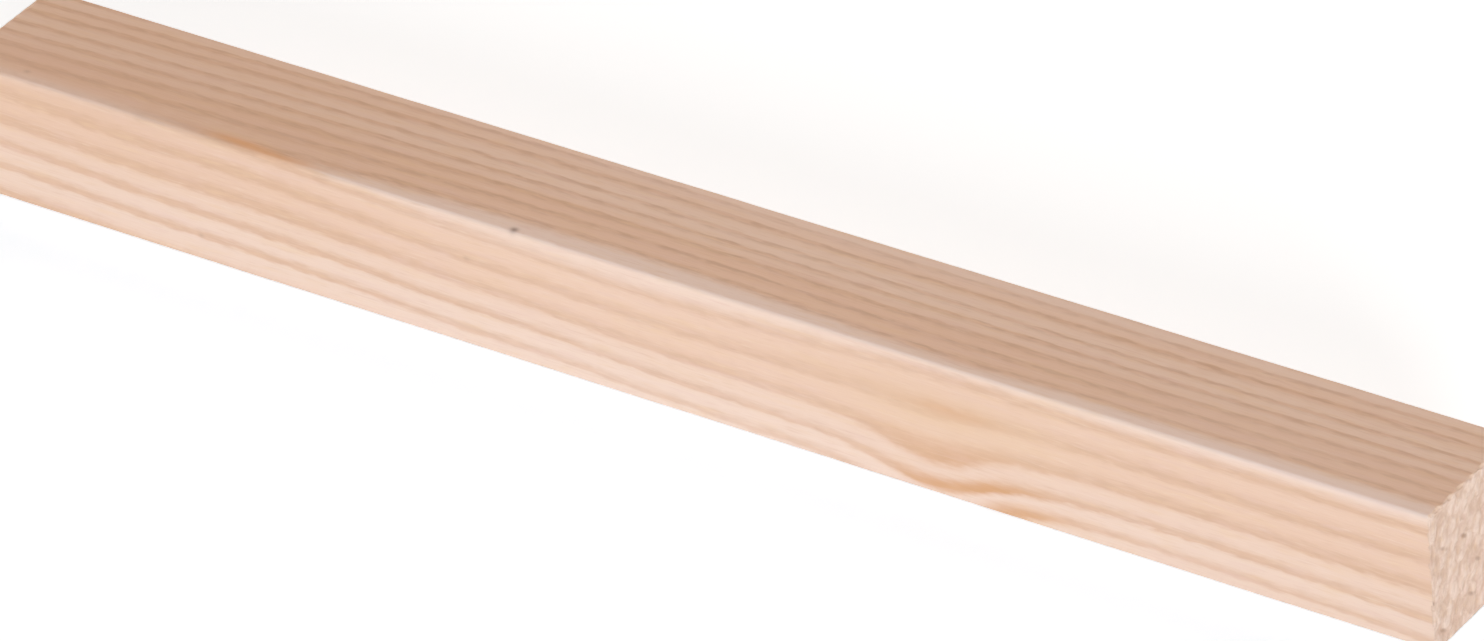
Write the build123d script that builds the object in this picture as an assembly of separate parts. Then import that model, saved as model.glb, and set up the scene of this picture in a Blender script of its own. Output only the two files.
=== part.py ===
from build123d import *

import os

# A planed square softwood timber: one straight length, sawn off square at both ends.
# X runs along the grain, Y across the width, and Z up through the thickness.
# The origin is the middle of the underside, on the surface that the timber lies on.

# Driving dimensions, in millimetres
LENGTH = 500.0  # along the grain, from sawn end to sawn end
WIDTH = 44.0  # across the grain, between the planed front and back faces
THICKNESS = 44.0  # between the planed underside and the planed top face
ARRIS_RADIUS = 0.8  # the four long edges, each eased with one light stroke


def planed_section():
    """The cross-section that the planer leaves: four flat faces that meet in eased arrises."""
    section = RectangleRounded(WIDTH, THICKNESS, ARRIS_RADIUS)
    lifted_onto_its_underside = Pos(0, THICKNESS / 2)
    return Plane.YZ * lifted_onto_its_underside * section


def plank():
    """The section carried along the grain, half the length to each side of the origin."""
    return extrude(planed_section(), amount=LENGTH / 2, both=True)


os.makedirs("parts", exist_ok=True)
export_step(plank(), "parts/plank.step")
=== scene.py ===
import math

import bpy
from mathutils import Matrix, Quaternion, Vector


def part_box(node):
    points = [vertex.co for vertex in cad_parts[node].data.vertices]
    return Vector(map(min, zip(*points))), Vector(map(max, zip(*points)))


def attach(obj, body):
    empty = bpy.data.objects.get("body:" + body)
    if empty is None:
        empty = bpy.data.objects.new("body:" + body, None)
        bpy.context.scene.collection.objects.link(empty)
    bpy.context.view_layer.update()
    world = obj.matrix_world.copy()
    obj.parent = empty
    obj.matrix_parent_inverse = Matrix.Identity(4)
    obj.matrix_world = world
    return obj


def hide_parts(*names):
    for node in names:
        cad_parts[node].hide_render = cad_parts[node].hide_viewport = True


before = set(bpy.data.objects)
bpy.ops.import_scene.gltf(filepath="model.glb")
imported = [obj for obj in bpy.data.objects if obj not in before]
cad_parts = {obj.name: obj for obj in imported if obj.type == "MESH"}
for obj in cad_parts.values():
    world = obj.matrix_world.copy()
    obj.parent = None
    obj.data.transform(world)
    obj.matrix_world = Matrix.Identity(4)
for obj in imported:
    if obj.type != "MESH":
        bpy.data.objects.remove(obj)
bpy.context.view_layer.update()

# The camera stands where the photograph was taken from: well back behind a long lens, to the right
# of the front face and above it, and turned a little about its own axis.
CAMERA_PLACE = Vector((1.4988, -1.9454, 1.6278))
CAMERA_AIM = Vector((0.0078, 0.0026, 0.0180))
CAMERA_TURN = math.radians(-5.46)
SENSOR_WIDTH = 36.0
LENS = 253.2

camera = bpy.data.objects.new("camera", bpy.data.cameras.new("camera"))
camera.data.sensor_fit = "HORIZONTAL"
camera.data.sensor_width = SENSOR_WIDTH
camera.data.lens = LENS
camera.location = CAMERA_PLACE
camera.rotation_mode = "QUATERNION"
looking_at_the_timber = (CAMERA_AIM - CAMERA_PLACE).to_track_quat("-Z", "Y")
camera.rotation_quaternion = looking_at_the_timber @ Quaternion((0, 0, 1), CAMERA_TURN)
bpy.context.scene.collection.objects.link(camera)
bpy.context.scene.camera = camera

# The plank: one straight length of pale pine, planed on four sides with its long arrises eased by
# one light stroke, then cut off square at both ends by a coarse saw that tears the grain.
# It is a single piece of wood, so the same growth rings run through it from face to face.
plank_low, plank_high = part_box("plank")
MM = 0.001
LENGTH, WIDTH, THICKNESS = (plank_high - plank_low) / MM
ARRIS_RADIUS = 0.8
ARRIS_LEAST, ARRIS_SPREAD = 0.65, 0.7  # shares of that radius: the least, and what the hand adds
HAND_REACH = 35.0  # the hand's pressure on an arris changes over about this length
FRONT_ARRIS_EXTRA = 0.5  # the front top arris is rounder than the others by this share
RING_RELIEF = 0.03  # how far the soft early wood sinks below a planed face
SAW_DEPTH = 0.32  # how deep the saw tears an end
TORN_REACH = 2.5  # the mesh takes up that tearing over this length
SPLINTER_LENGTH = 1.1  # how far the saw breaks the fibres back from an end, where it is worst
SPLINTER_SLOPE = 0.9  # how deep a chip is at the edge, for each millimetre of its length
CHIP_SHARE = 0.85  # the most that a chip takes of the arris radius, or the mesh would fold over
CHIPPED_BAND = 3.0  # the chips die away this far below the top face
SHARP_EDGE = math.radians(40)  # an edge that turns by more than this is left crisp
CUTS_ALONG = 150  # mesh cells along the grain, crowded towards the sawn ends
CUTS_ACROSS = 108  # mesh cells across each face, crowded towards the arrises


class Field:
    """An output socket of a node tree. Arithmetic on it adds Math nodes to the same tree."""

    def __init__(self, socket):
        self.socket = socket

    def node(self, kind, settings=None, sockets=None, output=0):
        """Adds a node: its settings first, then its sockets' values or links. Gives one output."""
        made = self.socket.id_data.nodes.new(kind)
        for name, value in (settings or {}).items():
            if name == "points":
                made.mapping.use_clip = False
                line = made.mapping.curves[0].points
                line[0].location = value[0]
                line[1].location = value[-1]
                for point in value[1:-1]:
                    line.new(*point)
                for point in line:
                    point.handle_type = "AUTO_CLAMPED"
                made.mapping.update()
            else:
                setattr(made, name, value)
        for name, value in (sockets or {}).items():
            if isinstance(name, int):
                socket = made.inputs[name]
            else:
                socket = next(s for s in made.inputs if s.name == name and s.enabled)
            if isinstance(value, Field):
                made.id_data.links.new(value.socket, socket)
            else:
                socket.default_value = value
        given = [s for s in made.outputs if s.enabled]
        if isinstance(output, int):
            return Field(given[output])
        return Field(next(s for s in given if s.name == output))

    def beside(self, output):
        """Another output of the same node."""
        return Field(self.socket.node.outputs[output])

    def math(self, operation, *values):
        """A Math node's answer for these values."""
        return self.node("ShaderNodeMath", {"operation": operation}, dict(enumerate(values)))

    def __add__(self, other):
        return self.math("ADD", self, other)

    def __sub__(self, other):
        return self.math("SUBTRACT", self, other)

    def __rsub__(self, other):
        return self.math("SUBTRACT", other, self)

    def __mul__(self, other):
        return self.math("MULTIPLY", self, other)

    def __truediv__(self, other):
        return self.math("DIVIDE", self, other)

    def __rtruediv__(self, other):
        return self.math("DIVIDE", other, self)

    __radd__ = __add__
    __rmul__ = __mul__


def soft_step(value, start, end):
    """Rises smoothly from 0 at start to 1 at end."""
    bounds = {"Value": value, "From Min": start, "From Max": end}
    return value.node("ShaderNodeMapRange", {"interpolation_type": "SMOOTHSTEP"}, bounds)


def hump(value, centre, reach):
    """1 at the centre, fading to a third at the reach on either side."""
    away = (value - centre) / reach
    return value.math("EXPONENT", away * away * -1)


def curve(value, points):
    """The height, at this value, of a smooth curve drawn through the points."""
    return value.node("ShaderNodeFloatCurve", {"points": points}, {"Value": value})


def drawn_out(place, stretch, width, height):
    """Coordinates for a pattern this long along the first way, this wide and this high."""
    along, across, down = place
    sockets = {0: along / stretch, 1: across / width, 2: down / height}
    return along.node("ShaderNodeCombineXYZ", None, sockets)


def streaks(place, stretch, width, detail=2.0):
    """Noise from 0 to 1, drawn out along the grain."""
    spot = drawn_out(place, stretch, width, width)
    return spot.node("ShaderNodeTexNoise", None, {"Vector": spot, "Scale": 1.0, "Detail": detail})


# Places in the wood are millimetres along the grain from the left end, across the top face from its
# front arris towards the back, and down from the top face. The pith lies far off the front top arris,
# so a step across or down goes outward through the rings only in part, and these are the shares.
ACROSS_SHARE, DOWN_SHARE = 0.79, 0.525
ARRIS_TURN, ARRIS_TURN_DEPTH = 3.2, 2.4  # the rings bend towards the front just below the arris
CROWDED_FROM, CROWDED_TO = 33.0, 43.0  # they stand closer together at the foot of the front face
CROWDING_STARTS, CROWDING_FULL = 170.0, 260.0  # but only from about here along the grain
LONG_SWAY, SHORT_SWAY = 0.6, 1.3  # and they wander, both slowly and in short waves
# How far out each year's growth ends
RING_LINES = (
    -2.2, 5.8, 10.2, 14.5, 18.6, 22.6, 27.6, 31.3, 35.9, 40.1, 44.6, 48.7, 53.2, 57.3, 61.8, 66.0,
)
# The trunk wasn't quite straight, so the rings lean towards the arris by these millimetres at each
# place along the grain: all of them, those near the arris, those in the upper half of the front
# face, and then all of them for each millimetre below the top face and behind the front face
LEAN = (
    (0, 2.0), (37, 1.4), (107, -0.2), (160, -1.0), (207, -1.3), (250, -0.9), (295, -0.3),
    (350, 0.0), (407, 0.35), (460, 0.1), (500, -0.1),
)
LEAN_AT_ARRIS = (
    (0, 3.6), (37, 4.0), (70, 4.3), (107, 4.8), (150, 3.0), (207, 1.6), (255, 0.1), (295, 0.7),
    (345, 2.3), (380, 1.0), (420, 0.3), (500, 0.4),
)
ARRIS_LEAN_REACH = 7.0
LEAN_ON_FRONT = (
    (0, -0.1), (40, -0.2), (60, -0.2), (80, 0.2), (120, 0.4), (160, 0.2), (190, -0.1), (290, -0.2),
    (325, 0.1), (350, -0.1), (420, -0.3), (500, 0.1),
)
FRONT_LEAN_DEPTH, FRONT_LEAN_REACH = 14.0, 9.0
LEAN_WITH_DEPTH = (
    (0, -0.01), (60, -0.01), (100, 0.004), (140, 0.008), (170, -0.004), (200, -0.005), (240, -0.045),
    (295, -0.085), (340, -0.095), (366, -0.085), (400, -0.065), (450, -0.065), (500, -0.08),
)
LEAN_WITH_BREADTH = (
    (0, -0.012), (60, -0.02), (110, -0.018), (160, -0.006), (220, -0.006), (260, 0.0), (500, 0.0),
)
# A branch once grew close by the front bottom arris, and the rings dip round it
SWIRL = (
    (0, 0.0), (290, 0.0), (300, 0.15), (310, 0.7), (320, 1.9), (330, 3.2), (338, 3.6), (350, 2.7),
    (360, 1.1), (370, 0.3), (380, 0.0), (500, 0.0),
)
SWIRL_REACH_UP, SWIRL_REACH_BACK = 22.0, 30.0
# Darkness of the wood through one year, from spring to winter
LATE_WOOD = (
    (0.0, 0.86), (0.04, 0.62), (0.09, 0.3), (0.14, 0.1), (0.2, 0.02), (0.3, 0.0), (0.42, 0.02),
    (0.52, 0.13), (0.62, 0.36), (0.72, 0.66), (0.82, 0.89), (0.91, 1.0), (0.96, 1.0), (1.0, 0.86),
)


def ring_years(place):
    """Years of growth at a place: a whole number is the end of a ring's dark late wood."""
    along, across, down = place
    turned = (1 - along.math("EXPONENT", down / -ARRIS_TURN_DEPTH)) * ARRIS_TURN
    outward = across * ACROSS_SHARE + down * DOWN_SHARE + turned
    crowded = soft_step(down, CROWDED_FROM, CROWDED_TO)
    outward = outward + crowded * soft_step(along, CROWDING_STARTS, CROWDING_FULL)
    lean = curve(along, LEAN) + curve(along, LEAN_WITH_DEPTH) * down
    lean = lean + curve(along, LEAN_WITH_BREADTH) * across
    lean = lean + curve(along, LEAN_AT_ARRIS) * along.math("EXPONENT", outward / -ARRIS_LEAN_REACH)
    lean = lean + curve(along, LEAN_ON_FRONT) * hump(down, FRONT_LEAN_DEPTH, FRONT_LEAN_REACH)
    near_branch = hump(down, THICKNESS, SWIRL_REACH_UP) * hump(across, 0.0, SWIRL_REACH_BACK)
    sway = (streaks(place, 60.0, 14.0) - 0.5) * LONG_SWAY
    sway = sway + (streaks(place, 7.0, 1.6) - 0.5) * SHORT_SWAY
    lines = [(line, year) for year, line in enumerate(RING_LINES)]
    return curve(outward + lean + sway - curve(along, SWIRL) * near_branch, lines)


def late_wood(years):
    """0 in a ring's pale early wood, rising to 1 in its dark line, which stops short at winter."""
    return curve(years.math("FRACT", years), LATE_WOOD)


# The saw's strokes stand nearly upright on an end, and the holes that it tears lie across them
STROKE_SLANT, STROKE_LENGTH, STROKE_WIDTH = math.radians(113), 3.7, 3.2
PORE_SLANT, PORE_LENGTH, PORE_WIDTH = math.radians(35), 11.0, 4.4
MARK_DEPTH = 20.0  # along the grain both change far more slowly


def on_the_end(place, slant, length, width):
    """Coordinates on an end for marks of this length and width, lying on this slant."""
    along, across, down = place
    along_mark = across * math.cos(slant) + down * math.sin(slant)
    across_mark = down * math.cos(slant) - across * math.sin(slant)
    return drawn_out((along, along_mark, across_mark), MARK_DEPTH, length, width)


def torn_strokes(place):
    """What the saw leaves on an end: short strokes of torn wood, 0 in the gaps between them."""
    spot = on_the_end(place, STROKE_SLANT, STROKE_LENGTH, STROKE_WIDTH)
    noise = {"Vector": spot, "Scale": 1.0, "Detail": 2.0, "Roughness": 0.5, "Distortion": 0.8}
    rough = spot.node("ShaderNodeTexNoise", None, noise)
    bent = spot.node("ShaderNodeVectorMath", {"operation": "ADD"}, {0: spot, 1: rough.beside("Color")})
    tufts = spot.node("ShaderNodeTexVoronoi", None, {"Vector": bent, "Scale": 0.9}, "Distance")
    return soft_step(rough, 0.3, 0.7) * 0.55 + soft_step(tufts, 0.75, 0.3) * 0.45


def splinters(place):
    """How far the saw has broken the fibres back along an end's edge, from 0 to 1."""
    return soft_step(streaks(place, 6.0, 3.6, 3.0), 0.34, 0.66)


def sawn_and_planed_timber():
    """Geometry Nodes for the plank: a cube of cells pulled to the planed shape, then cut by the saw."""
    tree = bpy.data.node_groups.new("Sawn and planed timber", "GeometryNodeTree")
    tree.interface.new_socket("Geometry", in_out="OUTPUT", socket_type="NodeSocketGeometry")
    kinds = {
        "Length": "NodeSocketFloat",
        "Width": "NodeSocketFloat",
        "Thickness": "NodeSocketFloat",
        "Arris Radius": "NodeSocketFloat",
        "Cuts Along": "NodeSocketInt",
        "Cuts Across": "NodeSocketInt",
        "Ring Relief": "NodeSocketFloat",
        "Saw Depth": "NodeSocketFloat",
        "Splinter Length": "NodeSocketFloat",
        "Splinter Slope": "NodeSocketFloat",
        "Finish": "NodeSocketMaterial",
    }
    names = {
        name: tree.interface.new_socket(name, in_out="INPUT", socket_type=kind).identifier
        for name, kind in kinds.items()
    }
    asked = {s.name: Field(s) for s in tree.nodes.new("NodeGroupInput").outputs if s.name}
    half_length = asked["Length"] / 2
    half_width = asked["Width"] / 2
    half_thickness = asked["Thickness"] / 2
    node, maths = half_length.node, half_length.math

    cells = {"Size": (2, 2, 2), "Vertices X": asked["Cuts Along"] + 1}
    cells.update({f"Vertices {axis}": asked["Cuts Across"] + 1 for axis in "YZ"})
    block = node("GeometryNodeMeshCube", None, cells)

    # Crowd the cells towards the ends and the arrises
    cell = node("ShaderNodeSeparateXYZ", None, {0: node("GeometryNodeInputPosition")})
    quarter_turn = math.pi / 2
    x = maths("SINE", cell * quarter_turn) * half_length
    cell_y, cell_z = cell.beside("Y"), cell.beside("Z")
    y = (cell_y + maths("SINE", cell_y * quarter_turn)) / 2 * half_width
    z = (cell_z + maths("SINE", cell_z * quarter_turn)) / 2 * half_thickness

    # Ease the arrises: what lies beyond the core of the section is drawn in to a round
    hand = node("ShaderNodeTexNoise", {"noise_dimensions": "1D"}, {"W": x / HAND_REACH, "Scale": 1.0})
    front_top = maths("LESS_THAN", y, 0.0) * maths("GREATER_THAN", z, 0.0)
    radius = asked["Arris Radius"] * (ARRIS_LEAST + hand * ARRIS_SPREAD)
    radius = radius * (1 + front_top * FRONT_ARRIS_EXTRA)
    core_y = maths("MAXIMUM", maths("MINIMUM", y, half_width - radius), radius - half_width)
    core_z = maths("MAXIMUM", maths("MINIMUM", z, half_thickness - radius), radius - half_thickness)
    past_y, past_z = y - core_y, z - core_z
    reach = maths("MAXIMUM", maths("ABSOLUTE", past_y), maths("ABSOLUTE", past_z))
    slant = maths("SQRT", past_y * past_y + past_z * past_z)
    drawn_in = reach / maths("MAXIMUM", slant, 1e-6)

    # Early wood sinks under the planer, and the saw tears both ends and chips the right one's top edge
    place = x + half_length, y + half_width, half_thickness - z
    from_end = half_length - maths("ABSOLUTE", x)
    sunk = (1 - late_wood(ring_years(place))) * asked["Ring Relief"]
    at_the_top = x + half_length, y + half_width, 0.0
    broken = splinters(at_the_top) * asked["Splinter Length"]
    broken_off = maths("MAXIMUM", broken - from_end, 0.0)
    near_top = soft_step(z, half_thickness - CHIPPED_BAND, half_thickness)
    chipped_edge = near_top * maths("GREATER_THAN", x, 0.0)
    chip = broken_off * chipped_edge * asked["Splinter Slope"]
    chip = maths("MINIMUM", chip, radius * CHIP_SHARE)
    drawn_in = drawn_in * (1 - sunk / radius)
    lowered = drawn_in * (1 - chip / radius)
    torn = (1 - torn_strokes(place)) * 0.8 + streaks(place, 3.0, 0.9) * 0.2
    cut = torn * (1 - soft_step(from_end, 0.0, TORN_REACH)) * asked["Saw Depth"]
    shaped = {
        0: x - maths("SIGN", x) * cut,
        1: core_y + past_y * drawn_in,
        2: core_z + past_z * lowered + half_thickness,
    }
    worn = node("ShaderNodeCombineXYZ", None, shaped)
    metres = node("ShaderNodeVectorMath", {"operation": "SCALE"}, {0: worn, "Scale": MM})
    block = node("GeometryNodeSetPosition", None, {"Geometry": block, "Position": metres})

    # Smooth, but for the sawn edges
    block = node("GeometryNodeSetShadeSmooth", None, {0: block, "Shade Smooth": True})
    sharp = maths("GREATER_THAN", node("GeometryNodeInputMeshEdgeAngle"), SHARP_EDGE)
    edges = {0: block, "Selection": sharp, "Shade Smooth": False}
    block = node("GeometryNodeSetShadeSmooth", {"domain": "EDGE"}, edges)
    block = node("GeometryNodeRealizeInstances", None, {"Geometry": block})
    block = node("GeometryNodeSetMaterial", None, {"Geometry": block, "Material": asked["Finish"]})
    tree.links.new(block.socket, tree.nodes.new("NodeGroupOutput").inputs["Geometry"])
    return tree, names


def written(red, green, blue):
    """A colour as a paint program writes it, in the linear light that a shader works in."""
    shares = [c / 255 for c in (red, green, blue)]
    return (*[c / 12.92 if c <= 0.04045 else ((c + 0.055) / 1.055) ** 2.4 for c in shares], 1.0)


def blend(amount, under, over):
    """The first colour with this amount of the second laid over it."""
    settings = {"data_type": "RGBA"}
    return amount.node("ShaderNodeMix", settings, {"Factor": amount, "A": under, "B": over})


EARLY_PALE, EARLY_TAN = written(246, 221, 205), written(241, 209, 188)
LATE_PALE, LATE_TAN = written(230, 194, 169), written(227, 190, 163)
FIBRE_DARK, FIBRE_PALE = written(217, 178, 150), written(250, 230, 216)
SUNNY, ROSY = written(240, 208, 174), written(236, 204, 192)
# The palest wood colour also serves as a painted sheen on the top face by the front arris
PALE_WOOD_AND_SHEEN, DEEP_TAN = written(248, 229, 221), written(220, 182, 153)
BRANCH_BROWN, ORANGE_STAIN = written(218, 162, 110), written(238, 178, 122)
DASH, RESIN, PIN_KNOT = written(156, 120, 94), written(176, 130, 96), written(112, 88, 80)
# The ends' first two colours are a painted highlight on the saw's ridges and painted shade in its
# grooves, and the third is painted shade in its torn holes
END_RIDGE_HIGHLIGHT, END_GROOVE_SHADE, END_HOLE_SHADE = written(247, 224, 209), written(221, 191, 171), written(158, 124, 104)
# The second rim colour is a painted highlight for the top edges of the ends
RIM, RIM_HIGHLIGHT = written(224, 194, 174), written(252, 226, 204)
# How tan each year's wood is, from the pale year at the front arris to the pale outer years
TAN_YEARS = (
    (-1, 0.2), (0, 0.0), (0.6, 0.05), (0.9, 0.35), (1.05, 0.9), (2.4, 1.0), (3.0, 0.75), (3.3, 0.45),
    (4.2, 0.15), (5, 0.0), (6.2, 0.5), (7.3, 0.25), (9, 0.1), (15, 0.2),
)
# How much darker the wood is at each place along the grain
DARKER_ALONG = (
    (0, 0.36), (60, 0.32), (120, 0.25), (170, 0.13), (230, 0.03), (300, 0.02), (390, 0.12), (500, 0.14),
)
# Marks in the wood: colour, strength, then place and reach along, across and down
MARKS = (
    (DEEP_TAN, 0.25, (60, 110), (28, 22), (0, 12)),
    (DEEP_TAN, 0.12, (0, 60), (0, 12), (22, 20)),
    (DEEP_TAN, 0.15, (450, 60), (0, 12), (42, 6)),
    (DEEP_TAN, 0.2, (30, 60), (0, 12), (3.5, 2.6)),
    # The pale marks at 40 and 460 mm along lie on the top face just behind the front arris: partly pale
    # wood, partly painted sheen
    (PALE_WOOD_AND_SHEEN, 0.5, (40, 45), (1.5, 2.2), (0, 1.5)),
    (PALE_WOOD_AND_SHEEN, 0.15, (205, 75), (0, 12), (4.7, 1.5)),
    (PALE_WOOD_AND_SHEEN, 0.2, (450, 80), (13, 11), (0, 2)),
    (ROSY, 0.15, (0, 60), (12, 9), (0, 2)),
    (PALE_WOOD_AND_SHEEN, 0.6, (460, 70), (1.5, 2.5), (0, 1.5)),
    (PALE_WOOD_AND_SHEEN, 0.35, (340, 180), (40.8, 3.2), (0, 1.5)),
    (SUNNY, 0.4, (345, 38), (0, 12), (17, 9)),
    (DEEP_TAN, 0.18, (325, 50), (0, 12), (12.5, 6)),
    (BRANCH_BROWN, 0.75, (353, 26), (0, 12), (37, 5)),
    (BRANCH_BROWN, 0.5, (337, 12), (0, 12), (41, 3)),
    (BRANCH_BROWN, 0.6, (371, 18), (0, 12), (43, 2.5)),
    (BRANCH_BROWN, 0.4, (345, 13), (0, 10), (14.5, 2.5)),
    (BRANCH_BROWN, 0.3, (342, 26), (0, 10), (27.5, 5)),
    (ORANGE_STAIN, 0.6, (101, 12), (2.6, 1.7), (0, 1.0)),
    (ORANGE_STAIN, 0.5, (114, 14), (1.2, 1.4), (0, 1.0)),
    (BRANCH_BROWN, 0.15, (141, 5), (38, 2.5), (0, 6)),
    (PIN_KNOT, 0.65, (198.2, 1.3), (1.5, 1.1), (0, 1.5)),
    (PIN_KNOT, 0.2, (22, 1.2), (4.5, 0.8), (0, 1.5)),
    (PIN_KNOT, 0.15, (84, 1.0), (0, 1.5), (35.5, 0.7)),
    (PIN_KNOT, 0.15, (181, 1.2), (0, 1.5), (14, 0.8)),
)
RIM_FADE = 0.3  # the broken rim of an end turns into planed wood over this length
END_FROM, END_TO = 0.45, 0.6  # and the end's own colours fade between these, just past its tears
WOOD_IOR, WOOD_GLOSS = 1.45, 0.3
PLANED_ROUGHNESS, LATE_POLISH, RIM_ROUGHNESS = 0.62, 0.08, 0.25
KNIFE_PITCH, KNIFE_HEIGHT = 2.3, 0.002  # the ripple that the planer's turning knives leave


def planed_pine():
    """The finish of the plank: rings and fibres on the planed faces, torn strokes on the sawn ends."""
    material = bpy.data.materials.new("pine_timber")
    material.use_nodes = True
    tree = material.node_tree
    shader = tree.nodes["Principled BSDF"]
    shader.inputs["IOR"].default_value = WOOD_IOR
    shader.inputs["Specular IOR Level"].default_value = WOOD_GLOSS
    spot = Field(tree.nodes.new("ShaderNodeTexCoord").outputs["Object"])
    spot = spot.node("ShaderNodeVectorMath", {"operation": "SCALE"}, {0: spot, "Scale": 1 / MM})
    x = spot.node("ShaderNodeSeparateXYZ", None, {0: spot})
    place = x + LENGTH / 2, x.beside("Y") + WIDTH / 2, THICKNESS - x.beside("Z")

    # Rings
    years = ring_years(place)
    late = late_wood(years)
    year = {"W": years.math("FLOOR", years)}
    growth = years.node("ShaderNodeTexWhiteNoise", {"noise_dimensions": "1D"}, year)
    tan = curve(years, TAN_YEARS)
    darker_along = curve(place[0], DARKER_ALONG)
    dark = late * (late + tan * (1 - late)) * (0.85 + growth * 0.25) * (0.78 + darker_along * 2.2)
    dark = dark * (0.5 + streaks(place, 18.0, 2.0) * 0.8)
    colour = blend(dark, blend(tan, EARLY_PALE, EARLY_TAN), blend(tan, LATE_PALE, LATE_TAN))
    # Dark dashes along the late wood, three times as strong on the top face as lower down
    dashes = soft_step(streaks(place, 8.0, 1.6), 0.4, 0.64)
    colour = blend(dashes * late * (0.08 + hump(place[2], 0.0, 2.0) * 0.16), colour, DASH)
    # The first year's pale early wood is painted paler still on the top face by the front arris: partly
    # pale wood, partly painted sheen
    first_year_and_sheen = (1 - soft_step(years, 0.5, 0.95)) * (1 - soft_step(place[2], 0.05, 0.6))
    colour = blend(first_year_and_sheen * 0.75, colour, PALE_WOOD_AND_SHEEN)

    # Warmer and cooler drifts, fibres, resin ducts and marks
    colour = blend(darker_along * (0.4 + tan * 0.4), colour, DEEP_TAN)
    drift = streaks(place, 45.0, 3.5) * 0.5 + streaks(place, 11.0, 1.5) * 0.5
    colour = blend(soft_step(drift, 0.5, 0.7) * 0.4, colour, SUNNY)
    colour = blend(soft_step(drift, 0.5, 0.3) * 0.4, colour, ROSY)
    fibres = streaks(place, 7.0, 0.45, 3.0) * 0.6 + streaks(place, 50.0, 1.1) * 0.4
    colour = blend(soft_step(fibres, 0.5, 0.75) * 0.35, colour, FIBRE_DARK)
    colour = blend(soft_step(fibres, 0.5, 0.25) * 0.35, colour, FIBRE_PALE)
    cells = {"Vector": drawn_out(place, 11.0, 1.1, 1.1), "Scale": 1.0}
    ducts = x.node("ShaderNodeTexVoronoi", None, cells, "Distance")
    lot = x.node("ShaderNodeSeparateColor", None, {0: ducts.beside("Color")})
    ducts = (1 - soft_step(ducts, 0.05, 0.16)) * soft_step(lot, 0.5, 0.6)
    colour = blend(ducts * (0.05 + late * 0.08), colour, RESIN)
    for mark, strength, *spans in MARKS:
        humps = [hump(axis, *span) for axis, span in zip(place, spans)]
        amount = humps[0] * humps[1] * humps[2] * strength
        if mark == BRANCH_BROWN:
            amount = amount * x.math("SQRT", late)
        colour = blend(amount, colour, mark)

    # Sawn ends, with a ragged rim where the fibres are broken back, a painted highlight along its top
    # edge, and painted shade and highlight on the saw's marks
    from_end = LENGTH / 2 - x.math("ABSOLUTE", x)
    broken = splinters(place) * SPLINTER_LENGTH
    rim = 1 - soft_step(from_end, broken, broken + RIM_FADE)
    end = 1 - soft_step(from_end, END_FROM, END_TO)
    # The end's colour runs from painted shade in the saw's grooves to a painted highlight on the ridges
    # between them
    strokes = torn_strokes(place) * 0.75 + streaks(place, 3.0, 0.9, 3.0) * 0.25
    end_colour = blend(soft_step(strokes, 0.1, 0.9), END_GROOVE_SHADE, END_RIDGE_HIGHLIGHT)
    end_colour = blend(late * 0.2, end_colour, LATE_TAN)
    end_colour = blend(soft_step(drift, 0.5, 0.75) * 0.45, end_colour, SUNNY)
    end_colour = blend(soft_step(drift, 0.5, 0.25) * 0.45, end_colour, ROSY)
    rim_colour = blend(late * 0.2 + 0.4, end_colour, RIM)
    # Painted highlight along the top edge of each end, where the torn fibres face the light
    rim_colour = blend(hump(place[2], 0.0, 1.2) * 0.6, rim_colour, RIM_HIGHLIGHT)
    colour = blend(rim * 0.95, colour, rim_colour)
    # Painted shade in the holes that the saw tears in the ends, away from the top edge
    cells = {"Vector": on_the_end(place, PORE_SLANT, PORE_LENGTH, PORE_WIDTH), "Scale": 1.0}
    hole_shade = x.node("ShaderNodeTexVoronoi", None, cells, "Distance")
    hole_shade = (1 - soft_step(hole_shade, 0.04, 0.24)) * soft_step(place[2], 2.0, 5.0)
    end_colour = blend(hole_shade * 0.6, end_colour, END_HOLE_SHADE)
    colour = blend(end, colour, end_colour)
    tree.links.new(colour.socket, shader.inputs["Base Color"])

    # Late wood is denser and takes a little more polish from the planer knives
    roughness = PLANED_ROUGHNESS - late * LATE_POLISH + rim * RIM_ROUGHNESS
    tree.links.new(roughness.socket, shader.inputs["Roughness"])
    knife_marks = x.math("SINE", x * (2 * math.pi / KNIFE_PITCH)) * KNIFE_HEIGHT
    height = knife_marks * (1 - rim) + streaks(place, 9.0, 0.25, 3.0) * (0.02 + rim * 0.08)
    bump = x.node("ShaderNodeBump", None, {"Height": height, "Distance": MM})
    tree.links.new(bump.socket, shader.inputs["Normal"])
    return material


timber, socket_names = sawn_and_planed_timber()
plank = bpy.data.objects.new("pine_plank", bpy.data.meshes.new("pine_plank"))
bpy.context.scene.collection.objects.link(plank)
tools = plank.modifiers.new("Sawn and planed timber", "NODES")
tools.node_group = timber
plank_sizes = {
    "Length": LENGTH,
    "Width": WIDTH,
    "Thickness": THICKNESS,
    "Arris Radius": ARRIS_RADIUS,
    "Cuts Along": CUTS_ALONG,
    "Cuts Across": CUTS_ACROSS,
    "Ring Relief": RING_RELIEF,
    "Saw Depth": SAW_DEPTH,
    "Splinter Length": SPLINTER_LENGTH,
    "Splinter Slope": SPLINTER_SLOPE,
    "Finish": planed_pine(),
}
for name, size in plank_sizes.items():
    tools[socket_names[name]] = size
worked = plank.evaluated_get(bpy.context.evaluated_depsgraph_get())
plank_mesh = bpy.data.meshes.new_from_object(worked)
plank_mesh.materials.pop(index=0)  # the empty slot that every cube of cells starts with
plank.modifiers.clear()
plank.data = plank_mesh
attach(plank, "root")
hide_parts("plank")

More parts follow.
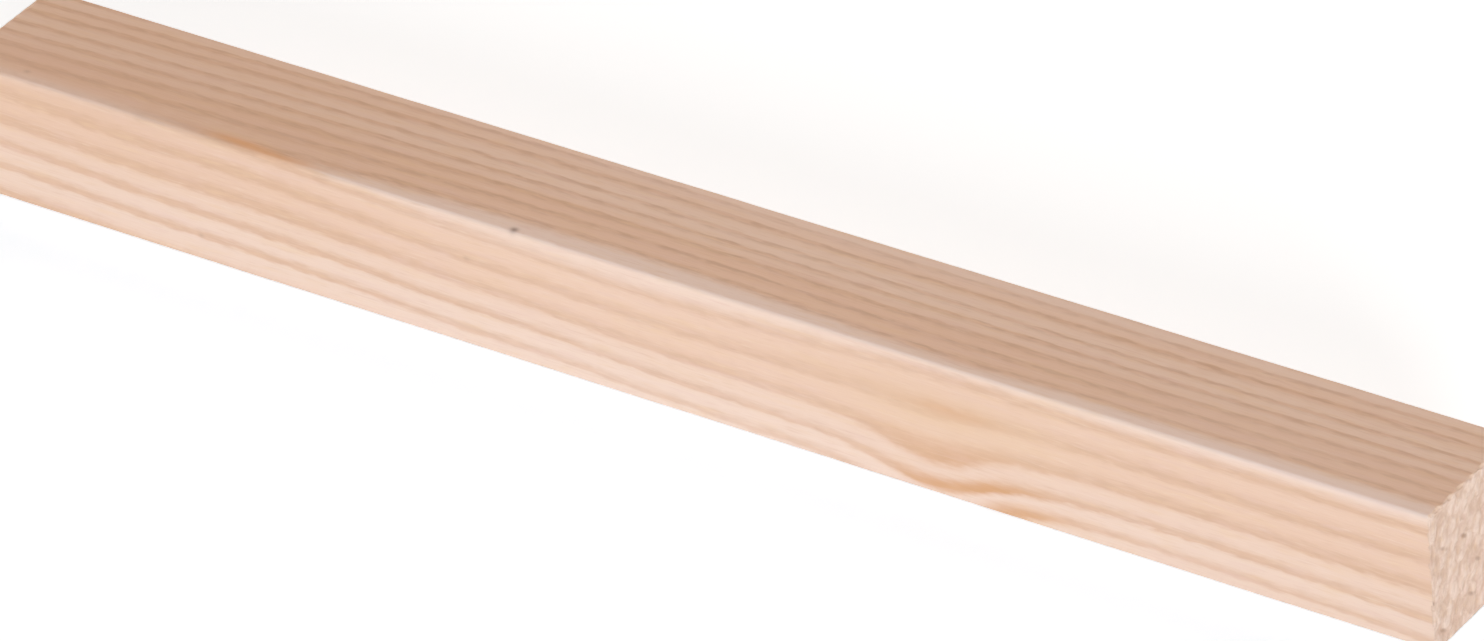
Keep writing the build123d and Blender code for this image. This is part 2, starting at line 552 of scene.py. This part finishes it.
# The studio: a broad floor of white paper under a white sky, which keeps a faint soft shadow. A broad
# cool lamp stands low on the camera's side, with a warmer one high behind the timber and a white one
# low behind it.
FLOOR_SIDE = 12.0
FLOOR_DROP = 0.0002
PAPER_WHITE = (0.8, 0.8, 0.8, 1.0)
PAPER_GLOW = (0.56, 0.61, 0.65, 1.0)  # just enough for white where the lamps reach the paper
SKY_LIGHT = 0.13
# Name, strength, colour, width across the sky, azimuth and elevation, with angles in degrees
LAMPS = (
    ("front_lamp", 3.1, (0.94, 0.97, 1.0), 22, 41, 12),
    ("warm_lamp", 1.15, (1.0, 0.7, 0.47), 35, 200, 50),
    ("back_fill", 1.7, (1.0, 1.0, 1.0), 12, 220, 6),
)
LOW_LAMP = 30  # a lamp no higher than this would put a white sheen on the top face, so it has no gloss


def seen_directly(tree):
    """1 where the camera looks straight at a surface, or sees it in gloss or through glass."""
    ray = Field(tree.nodes.new("ShaderNodeLightPath").outputs["Is Camera Ray"])
    seen = ray + ray.beside("Is Glossy Ray") + ray.beside("Is Transmission Ray")
    return seen.math("MINIMUM", seen, 1.0)


half_floor = FLOOR_SIDE / 2
ways_out = (-1, -1), (1, -1), (1, 1), (-1, 1)
corners = [(x * half_floor, y * half_floor, -FLOOR_DROP) for x, y in ways_out]
floor = bpy.data.objects.new("floor", bpy.data.meshes.new("floor"))
floor.data.from_pydata(corners, [], [(0, 1, 2, 3)])
paper = bpy.data.materials.new("white_paper")
paper.use_nodes = True
paper_shader = paper.node_tree.nodes["Principled BSDF"]
paper_shader.inputs["Base Color"].default_value = PAPER_WHITE
paper_shader.inputs["Roughness"].default_value = 1.0
paper_shader.inputs["Specular IOR Level"].default_value = 0.0
paper_shader.inputs["Emission Strength"].default_value = 1.0
glow = blend(seen_directly(paper.node_tree), (0, 0, 0, 1), PAPER_GLOW)
paper.node_tree.links.new(glow.socket, paper_shader.inputs["Emission Color"])
floor.data.materials.append(paper)
bpy.context.scene.collection.objects.link(floor)

sky = bpy.data.worlds.new("sky")
sky.use_nodes = True
sky_shader = sky.node_tree.nodes["Background"]
sky_strength = SKY_LIGHT + seen_directly(sky.node_tree) * (1 - SKY_LIGHT)
sky_shader.inputs["Color"].default_value = (1, 1, 1, 1)
sky.node_tree.links.new(sky_strength.socket, sky_shader.inputs["Strength"])
bpy.context.scene.world = sky

for name, strength, colour, width, azimuth, elevation in LAMPS:
    lamp = bpy.data.objects.new(name, bpy.data.lights.new(name, "SUN"))
    lamp.data.energy = strength
    lamp.data.color = colour
    lamp.data.angle = math.radians(width)
    turn, rise = math.radians(azimuth), math.radians(elevation)
    level = math.cos(rise)
    towards_lamp = Vector((math.sin(turn) * level, -math.cos(turn) * level, math.sin(rise)))
    lamp.location = towards_lamp
    lamp.rotation_euler = towards_lamp.to_track_quat("Z", "Y").to_euler()
    lamp.visible_glossy = elevation > LOW_LAMP
    bpy.context.scene.collection.objects.link(lamp)
bpy.context.scene.view_settings.view_transform = "Standard"
